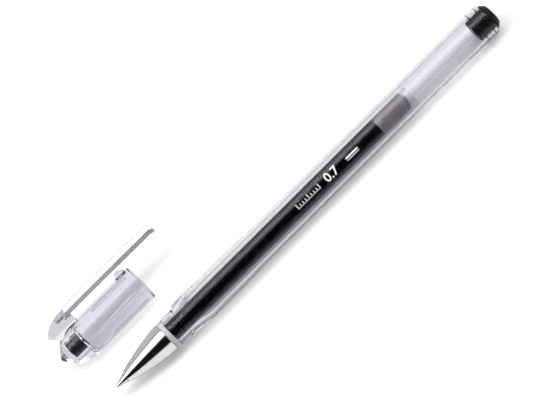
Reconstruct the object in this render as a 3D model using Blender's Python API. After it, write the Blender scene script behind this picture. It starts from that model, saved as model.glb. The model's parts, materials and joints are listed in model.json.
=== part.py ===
"""Capped gel pen lying on a table with its cap taken off and laid beside the nose.

Frame: +X from the writing point to the tail, +Y from the pen to the cap, +Z up.
The origin is below the middle of the whole set, on the table. Lengths in the
named dimensions are millimetres along X, from the writing ball for the pen and
from the cap's own zero for the cap and its clip, and radii.
"""
import math

import bmesh
import bpy
from mathutils import Vector

MM = 0.001
ROUND = 40                 # sides of a turned piece
CAP_SIDES = 72             # sides of the cap, so that its ribs come out narrow
CRISP = math.radians(32)   # edges sharper than this stay sharp

# where the pieces lie
BALL_X = -67.70            # the front of the ball, from the middle of the set
PEN_Y = -11.61
PEN_Z = 5.30
CAP_GAP = 20.60            # from the pen's axis to the cap's
CAP_Z = 5.60
CAP_AHEAD = 0.75           # the cap's own zero, ahead of the ball
CLIP_ROLL = math.radians(50)   # the clip's side of the cap, up from +Y

# barrel
NECK_X, NECK_R = 20.60, 4.45
SHOULDER_X0, SHOULDER_X1 = 24.40, 26.20
COLLAR_R, COLLAR_END = 5.30, 32.30
GRIP_R, GRIP_END = 5.15, 42.00
TUBE_R, TAPER_END = 4.82, 55.00
BARREL_END = 140.00
BORE_R = 3.72
NECK_BORE_R = 2.86

# tail plug
PLUG_STEM_R, PLUG_RIB_R = 3.30, 3.66
PLUG_X, PLUG_END = 134.60, 142.00
PLUG_HEAD_R = 4.05
PLUG_FLAT_R = 2.00
PLUG_RIBS = (136.25, 138.95)

# refill
CONE_X, CONE_R, CONE_END = 3.60, 4.40, 19.10
FLANGE_X, FLANGE_R = 19.20, 4.42
REFILL_R, REFILL_BORE_R = 2.75, 2.35
REFILL_END = 111.00
INK_X, INK_END = 20.60, 99.60
FOLLOWER_END = 109.70
BALL_R = 0.35

# cap
CAP_X = -5.85
CAP_R = 5.60
CAP_MOUTH = 24.60
CAP_BORE_R = 4.80
SEAL_X, SEAL_END, SEAL_R = -2.20, 2.05, 2.40
RIB_COUNT, RIB_X0, RIB_X1, RIB_H = 6, 10.0, 22.6, 0.28

# clip
CLIP_W, CLIP_TOP, CLIP_T = 3.50, 1.70, 0.40
CLIP_END = 37.10
HINGE_X, HINGE_R = 3.00, 8.70

CLEAR = (0.83, 0.84, 0.90, 0.35)
FROST = (0.86, 0.85, 0.90, 0.80)
STEEL = (0.72, 0.72, 0.73, 1.0)
PLATED = (0.66, 0.66, 0.65, 1.0)
BLACK = (0.010, 0.010, 0.012, 1.0)
RUBBER = (0.016, 0.016, 0.018, 1.0)
INK = (0.004, 0.004, 0.006, 1.0)
GREASE = (0.24, 0.23, 0.24, 0.85)


def clear_scene():
    for obj in list(bpy.data.objects):
        bpy.data.objects.remove(obj, do_unlink=True)


def pen_point(x, v, r):
    """A point of the pen: x along it, v sideways, r up."""
    return Vector((BALL_X + x, PEN_Y + v, PEN_Z + r)) * MM


def cap_point(x, v, r):
    """A point of the cap: x along it, r towards the clip, v across the clip."""
    cos, sin = math.cos(CLIP_ROLL), math.sin(CLIP_ROLL)
    y = PEN_Y + CAP_GAP + r * cos - v * sin
    z = CAP_Z + r * sin + v * cos
    return Vector((BALL_X - CAP_AHEAD + x, y, z)) * MM


def material(name, colour, rough, metal):
    mat = bpy.data.materials.new(name)
    mat.use_nodes = True
    mat.diffuse_color = colour
    shader = mat.node_tree.nodes["Principled BSDF"]
    shader.inputs["Base Color"].default_value = colour
    shader.inputs["Roughness"].default_value = rough
    shader.inputs["Metallic"].default_value = metal
    shader.inputs["Alpha"].default_value = colour[3]
    return mat


def finish(name, bm, origin, colour, rough=0.3, metal=0.0):
    """Turn a mesh built in place into an object whose origin is the given point."""
    bmesh.ops.remove_doubles(bm, verts=bm.verts, dist=1e-8)
    bmesh.ops.recalc_face_normals(bm, faces=bm.faces)
    bmesh.ops.translate(bm, verts=bm.verts, vec=-origin)
    mesh = bpy.data.meshes.new(name)
    bm.to_mesh(mesh)
    bm.free()
    mesh.shade_smooth()
    mesh.set_sharp_from_angle(angle=CRISP)
    mesh.materials.append(material(name, colour, rough, metal))
    obj = bpy.data.objects.new(name, mesh)
    obj.location = origin
    bpy.context.scene.collection.objects.link(obj)
    return obj


def lathe(outline, place, sides=ROUND, radius=None):
    """Turn a closed outline of (x, r) about the axis. radius may reshape one ring."""
    bm = bmesh.new()
    rings = []
    for x, r in outline:
        if r < 1e-6:
            rings.append([bm.verts.new(place(x, 0.0, 0.0))])
            continue
        ring = []
        for k in range(sides):
            turn = 2 * math.pi * k / sides
            rk = radius(x, r, k) if radius else r
            ring.append(bm.verts.new(place(x, rk * math.sin(turn), rk * math.cos(turn))))
        rings.append(ring)
    for a, b in zip(rings, rings[1:] + rings[:1]):
        join(bm, a, b)
    return bm


def join(bm, a, b):
    """Join two rings, either of which may be a single point on the axis."""
    n = max(len(a), len(b))
    if n == 1:
        return
    for k in range(n):
        m = (k + 1) % n
        corners = [a[k % len(a)], a[m % len(a)], b[m % len(b)], b[k % len(b)]]
        kept = list(dict.fromkeys(corners))
        if len(kept) > 2:
            bm.faces.new(kept)


def loft(sections):
    """Skin closed loops of points, with a face over each end."""
    bm = bmesh.new()
    rings = [[bm.verts.new(p) for p in loop] for loop in sections]
    for a, b in zip(rings, rings[1:]):
        join(bm, a, b)
    bm.faces.new(rings[0])
    bm.faces.new(rings[-1])
    bmesh.ops.triangulate(bm, faces=[f for f in bm.faces if len(f.verts) > 4])
    return bm


def smooth(points, steps=5):
    """A smooth curve through a few (x, r) points, ends included."""
    pts = [points[0]] + list(points) + [points[-1]]
    out = []
    for p0, p1, p2, p3 in zip(pts, pts[1:], pts[2:], pts[3:]):
        for i in range(steps):
            t = i / steps
            out.append(tuple(
                0.5 * (2 * b + (c - a) * t + (2 * a - 5 * b + 4 * c - d) * t * t
                       + (3 * b - a - 3 * c + d) * t ** 3)
                for a, b, c, d in zip(p0, p1, p2, p3)))
    out.append(points[-1])
    return out


def arc(x, r, radius, start, end, steps=8):
    """Points on a circle about (x, r), from one angle to another, in degrees."""
    out = []
    for i in range(steps + 1):
        a = math.radians(start + (end - start) * i / steps)
        out.append((x + radius * math.cos(a), r + radius * math.sin(a)))
    return out


def bulge(x, r, depth, steps=4):
    """A shallow dome from the axis out to radius r, standing depth proud of x."""
    return [(x + depth * (1 - (i / steps) ** 2), r * i / steps) for i in range(steps + 1)]


def barrel():
    outside = [
        (NECK_X, NECK_BORE_R),
        (NECK_X, NECK_R - 0.15),
        (NECK_X + 0.15, NECK_R),
    ]
    outside += smooth([
        (SHOULDER_X0, NECK_R), (SHOULDER_X0 + 0.7, NECK_R + 0.25),
        (SHOULDER_X1 - 0.5, COLLAR_R - 0.12), (SHOULDER_X1, COLLAR_R)], 3)
    outside += [
        (COLLAR_END, COLLAR_R),
        (COLLAR_END + 0.15, GRIP_R),
    ]
    outside += smooth([(GRIP_END, GRIP_R), ((GRIP_END + TAPER_END) / 2, (GRIP_R + TUBE_R) / 2),
                       (TAPER_END, TUBE_R)], 3)
    outside += arc(BARREL_END - 0.35, TUBE_R - 0.35, 0.35, 90, 0, 4)
    inside = [
        (BARREL_END, BORE_R + 0.25),
        (BARREL_END - 0.3, BORE_R),
        (SHOULDER_X1 + 4.0, BORE_R),
        (SHOULDER_X1 + 1.5, NECK_BORE_R),
    ]
    bm = lathe(outside + inside, pen_point)
    finish("barrel", bm, pen_point(NECK_X, 0, 0), CLEAR, 0.04)


def tail_plug():
    outline = [(PLUG_X, 0.0), (PLUG_X, PLUG_STEM_R - 0.4), (PLUG_X + 0.4, PLUG_STEM_R)]
    for rib in PLUG_RIBS:
        outline += [(rib - 0.35, PLUG_STEM_R), (rib - 0.15, PLUG_RIB_R),
                    (rib + 0.15, PLUG_RIB_R), (rib + 0.35, PLUG_STEM_R)]
    head = BARREL_END + 0.06
    outline += [(head, PLUG_STEM_R), (head, PLUG_HEAD_R - 0.1), (head + 0.1, PLUG_HEAD_R)]
    outline += smooth([(head + 0.4, PLUG_HEAD_R - 0.05), (head + 1.05, PLUG_HEAD_R - 0.55),
                       (PLUG_END - 0.22, 2.9), (PLUG_END, PLUG_FLAT_R)], 2)
    outline += [(PLUG_END, 0.0)]
    bm = lathe(outline, pen_point)
    finish("tail_plug", bm, pen_point(PLUG_END, 0, 0), BLACK, 0.35)


def nose_cone():
    outside = smooth([
        (CONE_X, 1.52), (4.74, 1.93), (6.10, 2.33), (8.76, 2.95), (11.40, 3.50),
        (14.10, 3.96), (16.80, CONE_R - 0.04), (17.60, CONE_R)], 2)
    outside += [(CONE_END - 0.12, CONE_R), (CONE_END, CONE_R - 0.12)]
    inside = [(CONE_END, 3.70), (15.5, 3.40), (7.6, 1.95), (7.2, 1.22), (CONE_X, 1.22)]
    bm = lathe(outside + inside, pen_point)
    finish("nose_cone", bm, pen_point(CONE_END, 0, 0), PLATED, 0.12, 1.0)


def writing_tip():
    centre, seat = BALL_R, BALL_R + 0.02
    front = centre - 0.17
    lip = math.degrees(math.acos((front - centre) / seat))
    back = 40
    outline = [(front, 0.45), (front + 0.35, 0.60), (3.40, 1.40), (3.52, 1.14),
               (9.20, 1.14), (9.20, 0.40), (centre + 0.9, 0.26)]
    outline += arc(centre, 0.0, seat, back, lip, 6)
    bm = lathe(outline, pen_point, 32)
    finish("writing_tip", bm, pen_point(centre, 0, 0), STEEL, 0.2, 1.0)


def ball():
    outline = arc(BALL_R, 0.0, BALL_R, 180, 0, 10)
    outline[0] = (0.0, 0.0)
    outline[-1] = (2 * BALL_R, 0.0)
    bm = lathe(outline, pen_point, 24)
    finish("ball", bm, pen_point(BALL_R, 0, 0), STEEL, 0.15, 1.0)


def tip_holder():
    outline = [
        (7.80, 1.20), (7.80, 1.80), (15.5, 3.25), (CONE_END - 0.05, 3.60),
        (CONE_END - 0.05, REFILL_BORE_R - 0.06), (INK_X - 0.1, REFILL_BORE_R - 0.06),
        (INK_X - 0.1, 0.90), (9.60, 0.70), (9.60, 1.20),
    ]
    bm = lathe(outline, pen_point)
    finish("tip_holder", bm, pen_point(CONE_END, 0, 0), FROST, 0.4)


def ink_tube():
    outline = [
        (FLANGE_X, REFILL_BORE_R), (FLANGE_X, FLANGE_R - 0.15), (FLANGE_X + 0.15, FLANGE_R),
        (NECK_X - 0.22, FLANGE_R), (NECK_X - 0.07, FLANGE_R - 0.15), (NECK_X - 0.07, REFILL_R),
        (REFILL_END, REFILL_R), (REFILL_END, REFILL_BORE_R),
    ]
    bm = lathe(outline, pen_point)
    finish("ink_tube", bm, pen_point(FLANGE_X, 0, 0), CLEAR, 0.08)


def ink_column():
    r = REFILL_BORE_R - 0.05
    outline = [(INK_X, 0.0), (INK_X, r)]
    outline += reversed(bulge(INK_END - 0.9, r, 0.9))
    bm = lathe(outline, pen_point)
    finish("ink_column", bm, pen_point(INK_X, 0, 0), INK, 0.15)


def follower():
    r = REFILL_BORE_R - 0.05
    outline = bulge(INK_END - 0.84, r, 0.9)
    outline += reversed(bulge(FOLLOWER_END - 0.9, r, 0.9))
    bm = lathe(outline, pen_point)
    finish("follower", bm, pen_point(INK_END, 0, 0), GREASE, 0.25)


def ribbed(x, r, k):
    """The cap's bore, with ribs along it."""
    if r == CAP_BORE_R - RIB_H:
        step = CAP_SIDES // RIB_COUNT
        return r if k % step in (6, 7) else CAP_BORE_R
    return r


def operand(name, bm, bevel):
    """A solid that only shapes another piece."""
    obj = finish(name, bm, cap_point(0, 0, 0), CLEAR)
    obj.display_type = "WIRE"
    obj.hide_render = True
    if bevel:
        mod = obj.modifiers.new("round", "BEVEL")
        mod.width = bevel * MM
        mod.segments = 3
    return obj


def combine(obj, other, how):
    mod = obj.modifiers.new(other.name, "BOOLEAN")
    mod.object = other
    mod.operation = how
    mod.solver = "EXACT"


def prism(profile, half):
    """A profile of (x, r) on the cap, with the given half width across the clip."""
    return loft([[cap_point(x, v, r) for x, r in profile] for v in (-half, half)])


def cap_shell():
    outside = smooth([
        (CAP_X, 0.45), (CAP_X + 0.45, 1.05), (CAP_X + 1.4, 2.3), (CAP_X + 2.4, 3.45),
        (CAP_X + 3.5, 4.30), (CAP_X + 6.4, 5.35), (CAP_X + 9.2, CAP_R)], 2)
    outside += [(CAP_MOUTH - 0.45, CAP_R - 0.05)]
    outside += arc(CAP_MOUTH - 0.3, CAP_R - 0.35, 0.3, 90, 0, 4)
    ridge = CAP_BORE_R - RIB_H
    inside = [
        (CAP_MOUTH, CAP_BORE_R + 0.15),
        (CAP_MOUTH - 0.5, CAP_BORE_R),
        (RIB_X1, CAP_BORE_R),
        (RIB_X1 - 0.6, ridge),
        (RIB_X0, ridge),
        (RIB_X0 - 0.4, CAP_BORE_R),
        (6.50, CAP_BORE_R),
        (4.20, 4.72),
        (2.60, 4.50),
        (SEAL_END + 0.1, 4.05),
        (SEAL_END + 0.1, SEAL_R + 0.05),
        (SEAL_X - 0.05, SEAL_R + 0.05),
        (SEAL_X - 0.05, 0.0),
    ]
    bm = lathe([(CAP_X, 0.0)] + outside + inside, cap_point, CAP_SIDES, ribbed)
    shell = finish("cap_shell", bm, cap_point(CAP_MOUTH, 0, 0), CLEAR, 0.04)
    block = prism([
        (-1.9, 4.1), (-4.4, 6.85), (-3.5, 8.0), (-1.9, 8.85), (-0.2, 9.45), (1.6, 9.82),
        (4.25, 9.95), (2.45, 7.55), (4.8, 7.5), (4.8, 5.0)], 2.3)
    combine(shell, operand("clip_block", block, 0.35), "UNION")
    bead = prism([
        (19.8, 5.2), (20.4, 6.3), (20.9, 6.95), (21.4, 7.1), (21.9, 6.95), (23.4, 5.9),
        (23.6, 5.2)], 1.1)
    combine(shell, operand("clip_bead", bead, 0.2), "UNION")
    slot = prism([(0.4, 8.15), (0.4, 9.1), (5.0, 9.4), (5.0, 8.1)], 1.75)
    combine(shell, operand("clip_slot", slot, 0.0), "DIFFERENCE")


def tip_seal():
    outline = [
        (SEAL_X, 0.0), (SEAL_X, SEAL_R - 0.3), (SEAL_X + 0.3, SEAL_R),
        (SEAL_END - 0.3, SEAL_R), (SEAL_END, SEAL_R - 0.3),
        (SEAL_END, 1.20), (SEAL_END - 0.5, 0.95), (0.1, 0.65), (-0.1, 0.0),
    ]
    bm = lathe(outline, cap_point)
    finish("tip_seal", bm, cap_point(SEAL_X, 0, 0), RUBBER, 0.6)


def channel(x, outer, inner, half, top, lean, thick):
    """One section of the pressed channel: narrow top, flared flanks, rims tucked in."""
    knee = inner + 0.4 * (outer - inner)
    bend = (outer - inner) / 2.7
    tuck = min(0.25, half - top)
    right = [
        (half - tuck, inner),
        (half - 0.06 * bend, knee - 0.15 * bend),
        (half, knee),
        (half - 0.08 * bend, knee + 0.15 * bend),
        (top + 0.18 * bend, outer - 0.30 * bend),
        (top, outer - 0.08 * bend),
        (top - 0.25, outer),
    ]
    hollow = [
        (top - 0.35, outer - thick),
        (top - 0.10, outer - thick - 0.12 * bend),
        (half - thick - 0.02, knee - 0.02),
        (half - tuck - thick, inner),
    ]
    left = [(-v, r) for v, r in reversed(right)]
    under_left = [(-v, r) for v, r in reversed(hollow)]
    middle = (outer + inner) / 2
    loop = right + left + under_left + hollow
    return [cap_point(x + lean * (r - middle), v, r) for v, r in loop]


def clip():
    half = CLIP_W / 2
    top = CLIP_TOP / 2
    sections = [
        channel(0.80, 8.95, 8.35, 1.50, 1.40, 0.0, 0.25),
        channel(3.50, 9.00, 8.35, 1.50, 1.40, 0.75, 0.25),
        channel(3.75, 10.15, 7.75, half - 0.1, top, 0.75, CLIP_T),
        channel(4.10, 10.25, 7.75, half, top, 0.6, CLIP_T),
        channel(8.00, 10.40, 7.70, half, top, 0.0, CLIP_T),
        channel(20.0, 10.42, 7.70, half, top, 0.0, CLIP_T),
        channel(34.8, 10.40, 7.60, half, top, 0.0, CLIP_T),
        channel(35.9, 10.25, 7.50, half - 0.1, top - 0.05, 0.0, CLIP_T),
        channel(36.5, 9.95, 7.40, half - 0.25, top - 0.1, 0.0, CLIP_T),
        channel(36.9, 9.40, 7.30, half - 0.4, top - 0.15, 0.0, CLIP_T),
        channel(CLIP_END, 8.70, 7.25, half - 0.5, top - 0.2, 0.0, CLIP_T),
    ]
    finish("clip", loft(sections), cap_point(HINGE_X, 0, HINGE_R), STEEL, 0.12, 1.0)


clear_scene()
barrel()
tail_plug()
nose_cone()
writing_tip()
ball()
tip_holder()
ink_tube()
ink_column()
follower()
cap_shell()
tip_seal()
clip()
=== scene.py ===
"""Looks of the open gel pen: clear barrel and cap, plated nose, black gel ink, steel clip.

Frame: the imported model's, +X from the writing point to the tail, +Z up. Lengths named here
are millimetres along X, from the writing ball for the pen and from the cap's own zero for the
cap and its clip, and radii about their axes.
"""
import json
import math

import bmesh
import bpy
from mathutils import Matrix, Vector


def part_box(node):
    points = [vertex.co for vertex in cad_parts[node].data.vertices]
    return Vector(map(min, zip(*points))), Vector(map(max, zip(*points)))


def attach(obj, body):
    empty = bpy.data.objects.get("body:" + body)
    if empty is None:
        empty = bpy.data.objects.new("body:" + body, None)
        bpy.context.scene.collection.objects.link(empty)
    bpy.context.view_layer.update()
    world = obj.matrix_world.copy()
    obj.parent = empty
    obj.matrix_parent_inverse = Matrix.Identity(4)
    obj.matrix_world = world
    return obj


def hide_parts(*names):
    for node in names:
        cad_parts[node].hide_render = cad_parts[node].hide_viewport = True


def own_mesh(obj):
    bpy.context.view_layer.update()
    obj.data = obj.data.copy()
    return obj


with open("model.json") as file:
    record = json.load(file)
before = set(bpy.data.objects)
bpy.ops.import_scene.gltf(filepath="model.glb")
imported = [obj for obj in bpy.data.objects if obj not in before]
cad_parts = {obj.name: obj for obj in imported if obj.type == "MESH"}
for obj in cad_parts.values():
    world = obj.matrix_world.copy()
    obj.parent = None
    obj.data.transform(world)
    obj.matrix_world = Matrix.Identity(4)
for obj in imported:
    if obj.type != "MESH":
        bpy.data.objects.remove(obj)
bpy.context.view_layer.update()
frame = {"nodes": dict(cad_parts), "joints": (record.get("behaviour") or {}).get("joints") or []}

MM = 0.001

# axes of the pen and of the cap, read from the frame
TIP_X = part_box("ball")[0].x
CLIP_JOINT = next(j for j in frame["joints"] if j["name"] == "clip_flex")


def middle(node):
    low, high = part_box(node)
    return (low + high) / 2


def start(node):
    """Where a node starts, in mm from the writing ball."""
    return (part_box(node)[0].x - TIP_X) / MM


def end(node):
    return (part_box(node)[1].x - TIP_X) / MM


def radius(node):
    low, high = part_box(node)
    return (high.z - low.z) / 2 / MM


PEN = middle("barrel")
CAP = middle("tip_seal")
CLIP_ROLL = math.atan2(CLIP_JOINT["pos_m"][2] - CAP.z, CLIP_JOINT["pos_m"][1] - CAP.y)

# barrel
NECK_X, BARREL_END = start("barrel"), end("barrel")
NECK_R = 4.45
SHOULDER_X0, SHOULDER_X1 = 24.40, 26.20
COLLAR_R, COLLAR_END = radius("barrel"), 32.30
GRIP_R, GRIP_END = COLLAR_R - 0.15, 42.00
TUBE_R, TAPER_END = 4.82, 55.00
BORE_R, NECK_BORE_R = 3.72, 2.86
RING_X0, RING_PITCH, RING_COUNT, RING_H = 33.4, 1.0, 18, 0.05

# tail plug
PLUG_X, PLUG_END = start("tail_plug"), end("tail_plug")
PLUG_HEAD_R = radius("tail_plug")
PLUG_STEM_R, PLUG_RIB_R, PLUG_FLAT_R = 3.30, 3.725, 2.00
PLUG_RIBS = (136.25, 138.95)

# refill
CONE_X, CONE_END, CONE_R = start("nose_cone"), end("nose_cone"), radius("nose_cone")
FLANGE_X, FLANGE_R, REFILL_END = start("ink_tube"), radius("ink_tube"), end("ink_tube")
REFILL_R, REFILL_BORE_R = 2.75, 2.35
INK_X, INK_END = start("ink_column"), end("ink_column")
FOLLOWER_X, FOLLOWER_END = start("follower"), end("follower")
DOME = 0.9                 # how far the ends of ink and follower bulge to the tail
BALL_R = radius("ball")

# cap; its own zero lies a little ahead of the writing ball
CAP_AHEAD = 0.75
CAP_X, CAP_MOUTH = start("cap_shell") + CAP_AHEAD, end("cap_shell") + CAP_AHEAD
CAP_R, CAP_BORE_R = 5.60, 4.80
SEAL_X, SEAL_END = start("tip_seal") + CAP_AHEAD, end("tip_seal") + CAP_AHEAD
SEAL_R = radius("tip_seal")
RIB_COUNT, RIB_X0, RIB_X1, RIB_H = 6, 10.0, 22.6, 0.28
RIB_TURN, RIB_SPREAD = math.radians(32.5), math.radians(2.6)

# clip
CLIP_W, CLIP_TOP, CLIP_T = 3.50, 1.70, 0.40

# the camera looks across the pen, this far above the table
CAMERA_RISE = math.radians(48)
CAMERA_ROLL = math.radians(44.85)

# sides of a turned piece, and the angle above which an edge stays sharp
SIDES = 128
CRISP = math.radians(30)


def pen(x, v, r):
    """A point of the pen: x along it, v sideways, r up."""
    return Vector((TIP_X + x * MM, PEN.y + v * MM, PEN.z + r * MM))


def cap(x, v, r):
    """A point of the cap: x along it, r towards the clip, v across the clip."""
    cos, sin = math.cos(CLIP_ROLL), math.sin(CLIP_ROLL)
    return Vector((TIP_X + (x - CAP_AHEAD) * MM,
                   CAP.y + (r * cos - v * sin) * MM,
                   CAP.z + (r * sin + v * cos) * MM))


# ---------------------------------------------------------------- outlines

def smooth(points, steps=8):
    """A smooth curve through a few points, ends included."""
    pts = [points[0]] + list(points) + [points[-1]]
    out = []
    for p0, p1, p2, p3 in zip(pts, pts[1:], pts[2:], pts[3:]):
        for i in range(steps):
            t = i / steps
            out.append(tuple(
                0.5 * (2 * b + (c - a) * t + (2 * a - 5 * b + 4 * c - d) * t * t
                       + (3 * b - a - 3 * c + d) * t ** 3)
                for a, b, c, d in zip(p0, p1, p2, p3)))
    out.append(tuple(points[-1]))
    return out


def rounded(points, steps=5):
    """A closed outline whose corners (x, r, fillet) are rounded by their own fillet."""
    out = []
    for i, point in enumerate(points):
        here = Vector(point[:2])
        if len(point) < 3:
            out.append(tuple(here))
            continue
        fillet = point[2]
        back = (Vector(points[i - 1][:2]) - here).normalized()
        ahead = (Vector(points[(i + 1) % len(points)][:2]) - here).normalized()
        half = back.angle(ahead) / 2
        centre = here + (back + ahead).normalized() * fillet / math.sin(half)
        first = here + back * fillet / math.tan(half) - centre
        last = here + ahead * fillet / math.tan(half) - centre
        for k in range(steps + 1):
            spoke = first.lerp(last, k / steps).normalized() * fillet
            out.append(tuple(centre + spoke))
    return out


def held(outline, inset=0.15, shortest=0.6):
    """The outline with a ring near each end of a long run, so that it shades straight."""
    out = []
    for a, b in zip(outline, outline[1:] + outline[:1]):
        a, b = Vector(a), Vector(b)
        out.append(tuple(a))
        length = (b - a).length
        if length > shortest:
            out.append(tuple(a.lerp(b, inset / length)))
            out.append(tuple(b.lerp(a, inset / length)))
    return out


def dome(x, r, depth, steps=10):
    """A shallow dome from the axis out to radius r, standing depth proud of x."""
    return [(x + depth * (1 - (i / steps) ** 2), r * i / steps) for i in range(steps + 1)]


# ---------------------------------------------------------------- meshes

def join(bm, a, b):
    """Join two rings, either of which may be a single point on the axis."""
    count = max(len(a), len(b))
    if count == 1:
        return
    for k in range(count):
        m = (k + 1) % count
        corners = [a[k % len(a)], a[m % len(a)], b[m % len(b)], b[k % len(b)]]
        kept = list(dict.fromkeys(corners))
        if len(kept) > 2:
            bm.faces.new(kept)


def lathe(outline, place, sides=SIDES, reshape=None):
    """Turn a closed outline of (x, r) about an axis."""
    bm = bmesh.new()
    rings = []
    for x, r in outline:
        if r < 1e-6:
            rings.append([bm.verts.new(place(x, 0.0, 0.0))])
            continue
        ring = []
        for k in range(sides):
            turn = 2 * math.pi * k / sides
            rk = reshape(x, r, turn) if reshape else r
            ring.append(bm.verts.new(place(x, rk * math.sin(turn), rk * math.cos(turn))))
        rings.append(ring)
    for a, b in zip(rings, rings[1:] + rings[:1]):
        join(bm, a, b)
    return bm


def loft(sections):
    """Skin closed loops of points, with a face over each end."""
    bm = bmesh.new()
    rings = [[bm.verts.new(p) for p in loop] for loop in sections]
    for a, b in zip(rings, rings[1:]):
        join(bm, a, b)
    bm.faces.new(rings[0])
    bm.faces.new(rings[-1])
    bmesh.ops.triangulate(bm, faces=[f for f in bm.faces if len(f.verts) > 4])
    return bm


def solid(name, bm, *materials):
    """An object from a closed mesh that is built in place."""
    bmesh.ops.remove_doubles(bm, verts=bm.verts, dist=1e-8)
    bmesh.ops.recalc_face_normals(bm, faces=bm.faces)
    mesh = bpy.data.meshes.new(name)
    bm.to_mesh(mesh)
    bm.free()
    mesh.shade_smooth()
    mesh.set_sharp_from_angle(angle=CRISP)
    for mat in materials:
        mesh.materials.append(mat)
    obj = bpy.data.objects.new(name, mesh)
    bpy.context.scene.collection.objects.link(obj)
    return obj


def part(obj, body, slot, *nodes):
    """Say what a finished piece moves with and stands for; slot, what it is made of, is not used.
    """
    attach(obj, body)
    if nodes:
        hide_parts(*nodes)


# ---------------------------------------------------------------- materials

def add(tree, kind, inputs=None, **settings):
    """A new node with its settings and its inputs, each a value or a socket."""
    node = tree.nodes.new(kind)
    for key, value in settings.items():
        setattr(node, key, value)
    for key, value in (inputs or {}).items():
        if isinstance(value, bpy.types.NodeSocket):
            tree.links.new(value, node.inputs[key])
        else:
            node.inputs[key].default_value = value
    return node


def noise(tree, size, detail=3.0, stretch=(1, 1, 1)):
    """Noise in the piece's own space, with features about this many mm across."""
    place = add(tree, "ShaderNodeTexCoord").outputs["Object"]
    scale = [s / (size * MM) for s in stretch]
    place = add(tree, "ShaderNodeMapping", {"Vector": place, "Scale": scale}).outputs[0]
    cloud = add(tree, "ShaderNodeTexNoise", {"Vector": place, "Scale": 1.0, "Detail": detail})
    return cloud.outputs["Fac"]


def spread(tree, value, low, high, start=0.3, stop=0.7):
    """Stretch a noise value to a range."""
    made = add(tree, "ShaderNodeMapRange", {
        "Value": value, "From Min": start, "From Max": stop, "To Min": low, "To Max": high})
    return made.outputs["Result"]


def step(tree, value, start, stop):
    """A smooth rise from 0 at start to 1 at stop."""
    made = add(tree, "ShaderNodeMapRange", {
        "Value": value, "From Min": start, "From Max": stop, "To Min": 0.0, "To Max": 1.0},
        interpolation_type="SMOOTHSTEP")
    return made.outputs["Result"]


def calc(tree, how, a, b=0.0):
    return add(tree, "ShaderNodeMath", {0: a, 1: b}, operation=how).outputs[0]


def tones(tree, value, dark, light):
    """A colour between two, each three numbers or a socket, by a value from 0 to 1."""
    mix = add(tree, "ShaderNodeMix", {"Factor": value}, data_type="RGBA")
    for key, colour in (("A", dark), ("B", light)):
        if isinstance(colour, bpy.types.NodeSocket):
            tree.links.new(colour, mix.inputs[key])
        else:
            mix.inputs[key].default_value = (*colour, 1)
    return mix.outputs["Result"]


def relief(tree, *layers):
    """Bumps one on the other, each a height and its depth in mm."""
    normal = None
    for height, depth in layers:
        inputs = {"Height": height, "Distance": depth * MM, "Strength": 1.0}
        if normal:
            inputs["Normal"] = normal
        normal = add(tree, "ShaderNodeBump", inputs).outputs["Normal"]
    return normal


def material(name, colour, **constants):
    """A Principled material; names of constants are input names with _ for a space."""
    mat = bpy.data.materials.new(name)
    mat.use_nodes = True
    mat.diffuse_color = (*colour, 1)
    shader = mat.node_tree.nodes["Principled BSDF"]
    shader.inputs["Base Color"].default_value = (*colour, 1)
    for key, value in constants.items():
        shader.inputs[key.replace("_", " ")].default_value = value
    return mat, mat.node_tree, shader


def link(tree, shader, **sockets):
    for key, socket in sockets.items():
        tree.links.new(socket, shader.inputs[key.replace("_", " ")])


def clear_plastic(name, tint, wave, gloss, lamp_share, thick=None):
    """Clear moulded plastic: a faint tint, flow waves wave mm deep, hairline scuffs.

    lamp_share is what each skin lets through of a lamp's light. thick may add a mask of
    the solid places and the deeper tint that the plastic has there.
    """
    mat, tree, shader = material(name, tint, Transmission_Weight=1.0, IOR=1.49,
                                 Specular_Tint=(gloss, gloss, gloss + 0.02, 1))
    flow = noise(tree, 5.0, 1.5, (0.35, 1, 1))
    scuffs = noise(tree, 0.35, 4.0, (0.15, 1, 1))
    colour = tones(tree, flow, [c * 0.97 for c in tint], tint)
    if thick:
        mask, deep = thick
        colour = tones(tree, mask(tree), colour, deep)
    link(tree, shader, Base_Color=colour,
         Roughness=spread(tree, scuffs, 0.01, 0.06),
         Normal=relief(tree, (flow, wave)))
    open_to_light(tree, shader, lamp_share)
    return mat


def cap_solid_parts(tree):
    """1 in the blocks on the cap's clip side, less in its solid nose, 0 in its thin wall."""
    place = add(tree, "ShaderNodeTexCoord").outputs["Object"]
    towards = (0, math.cos(CLIP_ROLL), math.sin(CLIP_ROLL))
    out = add(tree, "ShaderNodeVectorMath", {0: place, 1: towards}, operation="DOT_PRODUCT")
    axis = CAP.y * towards[1] + CAP.z * towards[2]
    block = step(tree, out.outputs["Value"], axis + (CAP_R + 0.05) * MM, axis + (CAP_R + 0.25) * MM)
    x = add(tree, "ShaderNodeSeparateXYZ", {"Vector": place}).outputs["X"]
    nose = cap(SEAL_X, 0, 0).x
    wall = step(tree, x, nose - 0.4 * MM, nose + 0.1 * MM)
    solid_nose = calc(tree, "MULTIPLY", calc(tree, "SUBTRACT", 1.0, wall), 0.4)
    return calc(tree, "MAXIMUM", block, solid_nose)


def open_to_light(tree, shader, share):
    """Let this share of a lamp's light through each skin of a clear piece."""
    clear = add(tree, "ShaderNodeBsdfTransparent", {"Color": (share, share, share, 1)})
    lamp = add(tree, "ShaderNodeLightPath").outputs["Is Shadow Ray"]
    mix = add(tree, "ShaderNodeMixShader", {0: lamp, 1: shader.outputs[0], 2: clear.outputs[0]})
    tree.links.new(mix.outputs[0], tree.nodes["Material Output"].inputs["Surface"])


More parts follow.
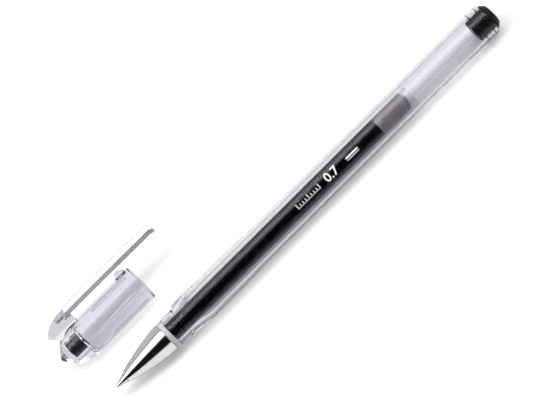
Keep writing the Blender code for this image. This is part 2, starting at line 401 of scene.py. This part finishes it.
def frosted_plastic():
    mat, tree, shader = material(
        "frosted_plastic", (0.90, 0.89, 0.93), Transmission_Weight=0.55, IOR=1.49,
        Subsurface_Weight=0.3, Subsurface_Scale=0.001)
    grain = noise(tree, 0.15, 3.0)
    cloud = noise(tree, 1.5, 2.0)
    link(tree, shader, Base_Color=tones(tree, cloud, (0.82, 0.81, 0.85), (0.93, 0.92, 0.95)),
         Roughness=spread(tree, grain, 0.28, 0.45),
         Normal=relief(tree, (grain, 0.004)))
    return mat


def plated(name, colour, rough, ring):
    """Bright plating over a turned surface: fine rings and faint clouding."""
    mat, tree, shader = material(name, colour, Metallic=1.0)
    rings = noise(tree, 0.12, 2.0, (1, 0.02, 0.02))
    cloud = noise(tree, 2.5, 3.0)
    dark = [c * 0.93 for c in colour]
    link(tree, shader, Base_Color=tones(tree, cloud, dark, colour),
         Roughness=spread(tree, cloud, rough, rough * 2.2),
         Normal=relief(tree, (rings, ring)))
    return mat


def pressed_steel():
    """Clip steel: lengthwise rolling lines and a little wear."""
    colour = (0.80, 0.80, 0.80)
    mat, tree, shader = material("pressed_steel", colour, Metallic=1.0)
    lines = noise(tree, 0.10, 3.0, (0.02, 1, 1))
    wear = noise(tree, 1.8, 4.0)
    link(tree, shader, Base_Color=tones(tree, wear, (0.72, 0.72, 0.73), (0.83, 0.83, 0.83)),
         Roughness=spread(tree, wear, 0.46, 0.60),
         Normal=relief(tree, (lines, 0.0015)))
    return mat


def black_plastic():
    mat, tree, shader = material("black_plastic", (0.006, 0.006, 0.007), IOR=1.5,
                                 Specular_IOR_Level=0.08)
    grain = noise(tree, 0.18, 3.0)
    dust = spread(tree, noise(tree, 1.2, 5.0), 0, 1)
    link(tree, shader, Base_Color=tones(tree, dust, (0.004, 0.004, 0.005), (0.012, 0.012, 0.014)),
         Roughness=spread(tree, grain, 0.22, 0.42),
         Normal=relief(tree, (grain, 0.006)))
    return mat


def black_rubber():
    mat, tree, shader = material("black_rubber", (0.006, 0.006, 0.007), Specular_IOR_Level=0.2)
    grain = noise(tree, 0.12, 4.0)
    bloom = spread(tree, noise(tree, 1.6, 4.0), 0, 1)
    link(tree, shader, Base_Color=tones(tree, bloom, (0.003, 0.003, 0.004), (0.012, 0.012, 0.012)),
         Roughness=spread(tree, grain, 0.45, 0.75),
         Normal=relief(tree, (grain, 0.012)))
    return mat


def black_ink():
    mat, tree, shader = material("black_ink", (0.003, 0.003, 0.004), IOR=1.38,
                                 Specular_IOR_Level=0.1)
    swirl = noise(tree, 3.0, 3.0, (0.3, 1, 1))
    tone = spread(tree, swirl, 0, 1)
    link(tree, shader, Base_Color=tones(tree, tone, (0.001, 0.001, 0.0015), (0.004, 0.003, 0.005)),
         Roughness=spread(tree, swirl, 0.10, 0.30))
    return mat


def grey_grease():
    """Cloudy follower gel, warmer where it meets the ink."""
    mat, tree, shader = material(
        "grey_grease", (0.3, 0.3, 0.3), Transmission_Weight=0.15, IOR=1.46,
        Subsurface_Weight=0.2, Subsurface_Scale=0.001)
    along = add(tree, "ShaderNodeSeparateXYZ", {
        "Vector": add(tree, "ShaderNodeTexCoord").outputs["Object"]}).outputs["X"]
    first, last = TIP_X + FOLLOWER_X * MM, TIP_X + FOLLOWER_END * MM
    along = spread(tree, along, 0, 1, first, last)
    cloud = noise(tree, 1.6, 4.0, (0.5, 1, 1))
    body = tones(tree, along, (0.30, 0.26, 0.265), (0.29, 0.285, 0.315))
    wisps = spread(tree, cloud, 0.0, 0.5)
    link(tree, shader, Base_Color=tones(tree, wisps, body, (0.42, 0.40, 0.41)),
         Roughness=spread(tree, cloud, 0.15, 0.4))
    return mat


def hard_ball():
    """Polished ball with a film of ink on it."""
    mat, tree, shader = material("hard_ball", (0.5, 0.5, 0.52), Metallic=1.0)
    film = spread(tree, noise(tree, 0.25, 3.0), 0, 1, 0.42, 0.55)
    link(tree, shader, Base_Color=tones(tree, film, (0.02, 0.02, 0.025), (0.55, 0.55, 0.57)),
         Roughness=spread(tree, film, 0.3, 0.08, 0, 1))
    return mat


def white_print():
    """Screen-printed white, a little thin and rubbed in places."""
    mat, tree, shader = material("white_print", (0.9, 0.9, 0.9), Roughness=0.5)
    rub = noise(tree, 0.4, 4.0)
    tone = spread(tree, rub, 0, 1)
    link(tree, shader, Base_Color=tones(tree, tone, (0.70, 0.70, 0.71), (0.95, 0.95, 0.95)),
         Roughness=spread(tree, rub, 0.35, 0.6))
    return mat


# ---------------------------------------------------------------- pen

def barrel(mat):
    outline = rounded([
        (NECK_X, NECK_BORE_R, 0.08), (NECK_X, NECK_R, 0.15), (SHOULDER_X0 - 1.0, NECK_R)])
    rise = COLLAR_R - NECK_R
    outline += smooth([
        (SHOULDER_X0 - 0.7, NECK_R), (SHOULDER_X0 + 0.1, NECK_R + 0.13 * rise),
        ((SHOULDER_X0 + SHOULDER_X1) / 2, NECK_R + 0.5 * rise),
        (SHOULDER_X1 - 0.1, NECK_R + 0.87 * rise), (SHOULDER_X1 + 0.7, COLLAR_R)])
    outline += [(COLLAR_END - 0.15, COLLAR_R)]
    outline += smooth([(COLLAR_END, COLLAR_R), (COLLAR_END + 0.4, COLLAR_R - 0.075),
                       (COLLAR_END + 0.8, GRIP_R)], 4)
    outline += [(RING_X0 - 0.3, GRIP_R)]
    per_ring = 8
    for i in range(RING_COUNT * per_ring + 1):
        x = RING_X0 + RING_PITCH * i / per_ring
        taper = min(max((x - GRIP_END) / (TAPER_END - GRIP_END), 0), 1)
        level = GRIP_R + (TUBE_R - GRIP_R) * taper
        outline.append((x, level + RING_H * math.sin(math.pi * i / per_ring) ** 2))
    outline += [(TAPER_END, TUBE_R)]
    outline += rounded([
        (TAPER_END + 0.5, TUBE_R), (BARREL_END, TUBE_R, 0.35), (BARREL_END, BORE_R, 0.22)])
    outline += smooth([
        (SHOULDER_X1 + 7.0, BORE_R), (SHOULDER_X1 + 4.6, BORE_R - 0.12),
        (SHOULDER_X1 + 1.5, NECK_BORE_R + 0.15), (SHOULDER_X1 - 1.0, NECK_BORE_R)], 6)
    obj = solid("clear_barrel", lathe(held(outline), pen), mat)
    part(obj, "pen", "clear_plastic", "barrel")


def tail_plug(mat):
    head = BARREL_END + 0.06
    outline = [(PLUG_X, 0.0), (PLUG_X, PLUG_STEM_R, 0.4)]
    for rib in PLUG_RIBS:
        outline += [(rib - 0.35, PLUG_STEM_R, 0.06), (rib - 0.15, PLUG_RIB_R, 0.1),
                    (rib + 0.15, PLUG_RIB_R, 0.1), (rib + 0.35, PLUG_STEM_R, 0.06)]
    outline += [(head, PLUG_STEM_R, 0.08), (head, PLUG_HEAD_R, 0.12)]
    outline += [(head + 0.5, PLUG_HEAD_R - 0.05)]
    outline = rounded(outline)
    outline += smooth([
        (head + 0.6, PLUG_HEAD_R - 0.09), (head + 1.05, PLUG_HEAD_R - 0.5),
        (PLUG_END - 0.22, 2.9), (PLUG_END, PLUG_FLAT_R)], 6)
    outline += [(PLUG_END, 0.9), (PLUG_END - 0.12, 0.8), (PLUG_END - 0.12, 0.0)]
    obj = solid("black_tail_plug", lathe(held(outline), pen), mat)
    part(obj, "pen", "black_plastic", "tail_plug")


def nose_cone(mat):
    outline = smooth([
        (CONE_X, 1.52), (4.74, 1.93), (6.10, 2.33), (8.76, 2.95), (11.40, 3.50),
        (14.10, 3.96), (16.80, CONE_R - 0.04), (17.60, CONE_R)], 8)
    outline += rounded([
        (17.8, CONE_R), (CONE_END, CONE_R, 0.12), (CONE_END, 3.70, 0.08), (15.5, 3.40, 0.5),
        (7.6, 1.95, 0.2), (7.2, 1.22), (CONE_X, 1.22, 0.05)])
    obj = solid("plated_nose_cone", lathe(held(outline), pen, 160), mat)
    part(obj, "refill", "plated_brass", "nose_cone")


def writing_tip(mat):
    seat = BALL_R + 0.02
    front = BALL_R - 0.17
    lip = math.acos((front - BALL_R) / seat)
    back = math.radians(40)
    outline = rounded([
        (front, 0.45, 0.04), (front + 0.35, 0.60), (1.60, 0.89), (1.62, 0.86), (1.74, 0.90),
        (1.76, 0.94), (3.40, 1.40, 0.06), (3.52, 1.14), (9.20, 1.14, 0.1), (9.20, 0.40),
        (BALL_R + 0.9, 0.26)], 3)
    for k in range(9):
        turn = back + (lip - back) * k / 8
        outline.append((BALL_R + seat * math.cos(turn), seat * math.sin(turn)))
    obj = solid("turned_writing_tip", lathe(held(outline, 0.05), pen, 64), mat)
    part(obj, "refill", "steel", "writing_tip")


def writing_ball(mat):
    steps = 24
    outline = []
    for k in range(steps + 1):
        turn = math.pi * (1 - k / steps)
        outline.append((BALL_R + BALL_R * math.cos(turn), BALL_R * math.sin(turn)))
    obj = solid("writing_ball_polished", lathe(outline, pen, 48), mat)
    part(obj, "writing_ball", "hard_ball", "ball")


def refill_tube(clear, frosted):
    back = NECK_X - 0.07
    outline = rounded([
        (FLANGE_X, REFILL_BORE_R), (FLANGE_X, FLANGE_R, 0.15), (back, FLANGE_R, 0.12),
        (back, REFILL_R), (REFILL_END, REFILL_R, 0.12), (REFILL_END, REFILL_BORE_R, 0.05)])
    obj = solid("refill_tube", lathe(held(outline), pen), clear, frosted)
    for face in obj.data.polygons:
        if face.center.x < TIP_X + (back + 0.05) * MM:
            face.material_index = 1
    part(obj, "refill", "tube_plastic", "ink_tube")


def gel_ink(mat):
    """The ink wets the bore, so its skin lies just inside the tube's wall."""
    r = REFILL_BORE_R + 0.01
    outline = [(INK_X, 0.0), (INK_X, r)] + dome(INK_END - DOME, r, DOME)[::-1][:-1]
    outline += [(INK_END, 0.0)]
    obj = solid("gel_ink", lathe(held(outline), pen, 96), mat)
    part(obj, "refill", "black_ink", "ink_column")
    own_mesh(obj)


def follower(mat):
    r = REFILL_BORE_R + 0.01
    outline = dome(FOLLOWER_X, r, DOME)
    outline += dome(FOLLOWER_END - DOME, r, DOME)[::-1]
    obj = solid("gel_follower", lathe(held(outline), pen, 96), mat)
    part(obj, "ink_follower", "grey_grease", "follower")


# ---------------------------------------------------------------- cap

def cap_ribs(x, r, turn):
    """The cap's bore, with narrow ribs along it."""
    if r > CAP_BORE_R - 0.01 or r < CAP_BORE_R - RIB_H - 0.01:
        return r
    pitch = 2 * math.pi / RIB_COUNT
    off = (turn - RIB_TURN + pitch / 2) % pitch - pitch / 2
    height = CAP_BORE_R - r
    return CAP_BORE_R - height * math.exp(-(off / RIB_SPREAD) ** 2)


def operand(name, profile, half, bevel):
    """A prism on the cap that only shapes it: a profile of (x, r), and half its width."""
    loops = [[cap(x, v, r) for x, r in profile] for v in (-half, half)]
    obj = solid(name, loft(loops))
    obj.hide_render = True
    obj.display_type = "WIRE"
    if bevel:
        mod = obj.modifiers.new("round", "BEVEL")
        mod.width = bevel * MM
        mod.segments = 5
    return obj


def combine(obj, other, how):
    mod = obj.modifiers.new(other.name, "BOOLEAN")
    mod.object = other
    mod.operation = how
    mod.solver = "EXACT"


def settle(obj):
    """Apply the modifiers and drop the solids that they used."""
    depsgraph = bpy.context.evaluated_depsgraph_get()
    mesh = bpy.data.meshes.new_from_object(obj.evaluated_get(depsgraph))
    used = [mod.object for mod in obj.modifiers if mod.type == "BOOLEAN"]
    obj.modifiers.clear()
    obj.data = mesh
    for other in used:
        bpy.data.objects.remove(other, do_unlink=True)
    mesh.shade_smooth()
    mesh.set_sharp_from_angle(angle=CRISP)


def cap_shell(mat):
    ridge = CAP_BORE_R - RIB_H
    outline = [(CAP_X, 0.0)]
    outline += smooth([
        (CAP_X, 0.45), (CAP_X + 0.45, 1.05), (CAP_X + 1.4, 2.3), (CAP_X + 2.4, 3.45),
        (CAP_X + 3.5, 4.30), (CAP_X + 6.4, 5.35), (CAP_X + 9.2, CAP_R)], 6)
    outline += rounded([
        (CAP_X + 9.6, CAP_R), (CAP_MOUTH, CAP_R - 0.05, 0.3), (CAP_MOUTH, CAP_BORE_R + 0.15, 0.1),
        (CAP_MOUTH - 0.5, CAP_BORE_R), (RIB_X1, CAP_BORE_R)])
    outline += [(RIB_X1 - 0.6, ridge), (RIB_X0, ridge)]
    outline += [(RIB_X0 - 0.4, CAP_BORE_R)]
    outline += smooth([(6.5, CAP_BORE_R), (4.4, 4.74), (3.3, 4.58), (2.6, 4.38)], 5)
    outline += rounded([
        (2.5, 4.34), (SEAL_END + 0.1, 4.1, 0.2), (SEAL_END + 0.1, SEAL_R + 0.05, 0.05),
        (SEAL_X - 0.05, SEAL_R + 0.05, 0.8), (SEAL_X - 0.05, 0.0)])
    obj = solid("clear_cap", lathe(held(outline), cap, 180, cap_ribs), mat)
    block = [(-1.9, 4.1), (-4.4, 6.85), (-3.5, 8.0), (-1.9, 8.85), (-0.2, 9.45), (1.6, 9.82),
             (4.25, 9.95), (2.45, 7.55), (4.8, 7.5), (4.8, 5.0)]
    bead = [(19.8, 5.2), (20.4, 6.3), (20.9, 6.95), (21.4, 7.1), (21.9, 6.95), (23.4, 5.9),
            (23.6, 5.2)]
    slot = [(0.4, 8.15), (0.4, 9.1), (5.0, 9.4), (5.0, 8.1)]
    combine(obj, operand("clip_block", block, 2.3, 0.35), "UNION")
    combine(obj, operand("clip_bead", bead, 1.1, 0.2), "UNION")
    combine(obj, operand("clip_slot", slot, 1.75, 0.0), "DIFFERENCE")
    settle(obj)
    part(obj, "cap", "cap_plastic", "cap_shell")


def tip_seal(mat):
    outline = rounded([
        (SEAL_X, 0.0), (SEAL_X, SEAL_R, 0.8), (SEAL_END, SEAL_R, 0.3), (SEAL_END, 1.20, 0.12),
        (SEAL_END - 0.5, 0.95, 0.1), (0.1, 0.65, 0.15), (-0.1, 0.0)])
    obj = solid("soft_tip_seal", lathe(held(outline), cap, 72), mat)
    part(obj, "cap", "black_rubber", "tip_seal")


# ---------------------------------------------------------------- clip

def channel(x, outer, inner, half, top, lean, thick):
    """One section of the pressed channel: narrow top, flared flanks, rims tucked in.

    outer and inner are its radii from the cap's axis, half and top its half widths.
    """
    knee = inner + 0.5 * (outer - inner)
    bend = (outer - inner) / 2.7
    tuck = min(0.5, half - top)
    loop = rounded([
        (half - tuck, inner, 0.06 * bend),
        (half, knee, 0.5 * bend),
        (top, outer, 0.40 * bend),
        (-top, outer, 0.40 * bend),
        (-half, knee, 0.5 * bend),
        (tuck - half, inner, 0.06 * bend),
        (tuck - half + thick, inner, 0.06 * bend),
        (thick - half, knee, 0.10 * bend),
        (0.2 - top, outer - thick, 0.15 * bend),
        (top - 0.2, outer - thick, 0.15 * bend),
        (half - thick, knee, 0.10 * bend),
        (half - tuck - thick, inner, 0.06 * bend),
    ], 4)
    middle = (outer + inner) / 2
    return [cap(x + lean * (r - middle), v, r) for v, r in loop]


def clip(mat):
    half = CLIP_W / 2
    top = CLIP_TOP / 2
    tab = [
        (0.80, 8.95, 8.35, 1.50, 1.40, 0.0, 0.25),
        (3.50, 9.00, 8.35, 1.50, 1.40, 0.75, 0.25)]
    bar = smooth([
        (3.75, 10.15, 7.75, half - 0.1, top, 0.75, CLIP_T),
        (4.10, 10.25, 7.75, half, top, 0.6, CLIP_T),
        (8.00, 10.40, 7.70, half, top, 0.0, CLIP_T),
        (20.0, 10.42, 7.70, half, top, 0.0, CLIP_T),
        (34.8, 10.40, 7.60, half, top, 0.0, CLIP_T),
        (35.9, 10.25, 7.50, half - 0.1, top - 0.05, 0.0, CLIP_T),
        (36.5, 9.95, 7.40, half - 0.25, top - 0.1, 0.0, CLIP_T),
        (36.9, 9.40, 7.30, half - 0.4, top - 0.15, 0.0, CLIP_T),
        (37.1, 8.70, 7.25, half - 0.5, top - 0.2, 0.0, CLIP_T)], 4)
    sections = [channel(*s) for s in tab + bar]
    obj = solid("steel_clip", loft(sections), mat)
    part(obj, "pocket_clip", "clip_steel", "clip")


# ---------------------------------------------------------------- print

def box_outline(u0, u1, v0, v1):
    return [(u0, v0), (u1, v0), (u1, v1), (u0, v1)]


def wrap_print(bm, facing):
    """Bend flat marks, drawn along x and upwards in mm, round the barrel."""
    reach, strip = 2.0, 0.2
    cuts = int(reach * 2 / strip)
    for k in range(cuts + 1):
        at = Vector((0, -reach + k * strip, 0))
        geometry = bm.verts[:] + bm.edges[:] + bm.faces[:]
        bmesh.ops.bisect_plane(bm, geom=geometry, plane_co=at, plane_no=(0, 1, 0), dist=1e-5)
    for vert in bm.verts:
        x, around, lift = vert.co
        turn = facing + around / TUBE_R
        r = TUBE_R + 0.005 + lift
        vert.co = pen(x, -r * math.cos(turn), r * math.sin(turn))


def barrel_print(mat):
    """Generic marks: a small gauge, the ball's size in millimetres, two sample lines."""
    thick = 0.012
    bm = bmesh.new()
    marks = [box_outline(68.0, 76.4, -0.72, -0.58)]
    for k in range(9):
        tall = 1.25 if k % 4 == 0 else 0.7
        x = 68.1 + k * 1.0
        marks.append(box_outline(x, x + 0.24, -0.45, -0.45 + tall))
    marks.append(box_outline(86.4, 90.8, -0.75, -0.55))
    marks.append(box_outline(86.4, 90.8, -0.20, 0.30))
    for outline in marks:
        low = [bm.verts.new((u, v, 0)) for u, v in outline]
        high = [bm.verts.new((u, v, thick)) for u, v in outline]
        join(bm, low, high)
        bm.faces.new(low)
        bm.faces.new(high)
    curve = bpy.data.curves.new("size_numeral", "FONT")
    curve.body = "0.7"
    curve.size = 3.6
    curve.extrude = thick / 2
    curve.offset = 0.06
    text = bpy.data.objects.new("size_numeral", curve)
    bpy.context.scene.collection.objects.link(text)
    depsgraph = bpy.context.evaluated_depsgraph_get()
    drawn = bpy.data.meshes.new_from_object(text.evaluated_get(depsgraph))
    bpy.data.objects.remove(text, do_unlink=True)
    for vert in drawn.vertices:
        vert.co += Vector((78.6, -1.2, thick / 2))
    bm.from_mesh(drawn)
    bpy.data.meshes.remove(drawn)
    bmesh.ops.remove_doubles(bm, verts=bm.verts, dist=1e-5)
    wrap_print(bm, CAMERA_RISE)
    obj = solid("barrel_print", bm, mat)
    part(obj, "pen", "clear_plastic")


# ---------------------------------------------------------------- stage

def floor():
    """A pale table that the camera sees as white where nothing shades it."""
    glow_all, glow_seen = 0.12, 0.18
    half, top = 4.0, -0.00002
    mat, tree, shader = material("pale_table", (0.60, 0.60, 0.60), Roughness=0.8,
                                 Emission_Color=(1, 1, 1, 1))
    shader.inputs["Specular IOR Level"].default_value = 0.1
    cloud = noise(tree, 40.0, 2.0)
    direct = add(tree, "ShaderNodeLightPath").outputs["Is Camera Ray"]
    glow = calc(tree, "ADD", calc(tree, "MULTIPLY", direct, glow_seen), glow_all)
    link(tree, shader, Base_Color=tones(tree, cloud, (0.595, 0.595, 0.595), (0.605, 0.605, 0.605)),
         Emission_Strength=glow)
    bm = bmesh.new()
    corners = [(-half, -half), (half, -half), (half, half), (-half, half)]
    bm.faces.new([bm.verts.new((x, y, top)) for x, y in corners])
    obj = solid("table", bm, mat)


def studio():
    """A wide soft box overhead, a dark room behind the camera, a grey wall beyond.

    Heights are angles in degrees, from the floor on the camera's side over the pen to the
    floor on its far side.
    """
    box_level, core_level, wall_level, floor_level, room_level = 1.25, 4.5, 0.60, 0.30, 0.009
    core_height, core_width = 88.0, 12.0
    world = bpy.data.worlds.new("studio")
    bpy.context.scene.world = world
    world.use_nodes = True
    tree = world.node_tree
    way = add(tree, "ShaderNodeSeparateXYZ", {
        "Vector": add(tree, "ShaderNodeTexCoord").outputs["Generated"]})
    x, y, z = way.outputs
    height = calc(tree, "ARCTAN2", z, calc(tree, "MULTIPLY", y, -1.0))
    height = calc(tree, "MULTIPLY", height, 180 / math.pi)
    soft_box = calc(tree, "SUBTRACT", step(tree, height, 60, 76), step(tree, height, 110, 124))
    off_core = calc(tree, "DIVIDE", calc(tree, "SUBTRACT", height, core_height), core_width)
    fading = calc(tree, "MULTIPLY", calc(tree, "MULTIPLY", off_core, off_core), -1.0)
    core = calc(tree, "MULTIPLY", calc(tree, "EXPONENT", fading), core_level)
    overhead = calc(tree, "ADD", calc(tree, "MULTIPLY", soft_box, box_level), core)
    off_middle = calc(tree, "ABSOLUTE", x)
    inside = calc(tree, "SUBTRACT", 1.0, step(tree, off_middle, 0.88, 0.99))
    overhead = calc(tree, "MULTIPLY", overhead, inside)
    wall = calc(tree, "MULTIPLY", step(tree, height, 118, 130), wall_level)
    above_floor = step(tree, height, 3, 10)
    low = calc(tree, "MULTIPLY", calc(tree, "SUBTRACT", 1.0, above_floor), floor_level)
    level = calc(tree, "ADD", calc(tree, "ADD", overhead, wall), calc(tree, "ADD", low, room_level))
    seen = add(tree, "ShaderNodeLightPath").outputs["Is Camera Ray"]
    mix = add(tree, "ShaderNodeMix", {"Factor": seen, "A": level, "B": 1.0}, data_type="FLOAT")
    back = tree.nodes["Background"]
    back.inputs["Color"].default_value = (1.0, 1.0, 1.0, 1)
    tree.links.new(mix.outputs["Result"], back.inputs["Strength"])


def camera():
    """Looks across the pen from the front, rolled so that the pen runs up to the right."""
    width, distance = 0.1474, 0.80
    aim_x, aim_up = 64.2, 4.44
    up_slope = Vector((0, math.sin(CAMERA_RISE), math.cos(CAMERA_RISE)))
    back = Vector((0, -math.cos(CAMERA_RISE), math.sin(CAMERA_RISE)))
    along = Vector((1, 0, 0))
    cos, sin = math.cos(CAMERA_ROLL), math.sin(CAMERA_ROLL)
    right = cos * along - sin * up_slope
    up = sin * along + cos * up_slope
    aim = pen(aim_x, 0, 0) + up_slope * aim_up * MM
    data = bpy.data.cameras.new("camera")
    data.sensor_width = 36
    data.lens = 36 * distance / width
    obj = bpy.data.objects.new("camera", data)
    turn = Matrix((right, up, back)).transposed().to_4x4()
    obj.matrix_world = Matrix.Translation(aim + back * distance) @ turn
    data.clip_start, data.clip_end = 0.01, 20
    bpy.context.scene.collection.objects.link(obj)
    bpy.context.scene.camera = obj


def main():
    camera()
    studio()
    floor()
    bpy.context.scene.view_settings.view_transform = "Standard"
    barrel_clear = clear_plastic(
        "barrel_styrene", tint=(0.875, 0.87, 0.91), wave=0.012, gloss=0.34, lamp_share=0.74)
    tube_clear = clear_plastic(
        "refill_polymer", tint=(0.95, 0.95, 0.97), wave=0.006, gloss=0.20, lamp_share=0.96)
    cap_clear = clear_plastic(
        "cap_styrene", tint=(0.895, 0.885, 0.935), wave=0.02, gloss=0.42, lamp_share=0.78,
        thick=(cap_solid_parts, (0.66, 0.65, 0.70)))
    frosted = frosted_plastic()
    barrel(barrel_clear)
    tail_plug(black_plastic())
    nose_cone(plated("bright_plating", (0.82, 0.80, 0.78), 0.03, 0.0008))
    writing_tip(plated("turned_steel", (0.72, 0.72, 0.72), 0.08, 0.002))
    writing_ball(hard_ball())
    refill_tube(tube_clear, frosted)
    gel_ink(black_ink())
    follower(grey_grease())
    holder = frame["nodes"]["tip_holder"]
    holder.material_slots[0].material = frosted
    cap_shell(cap_clear)
    tip_seal(black_rubber())
    clip(pressed_steel())
    barrel_print(white_print())


main()
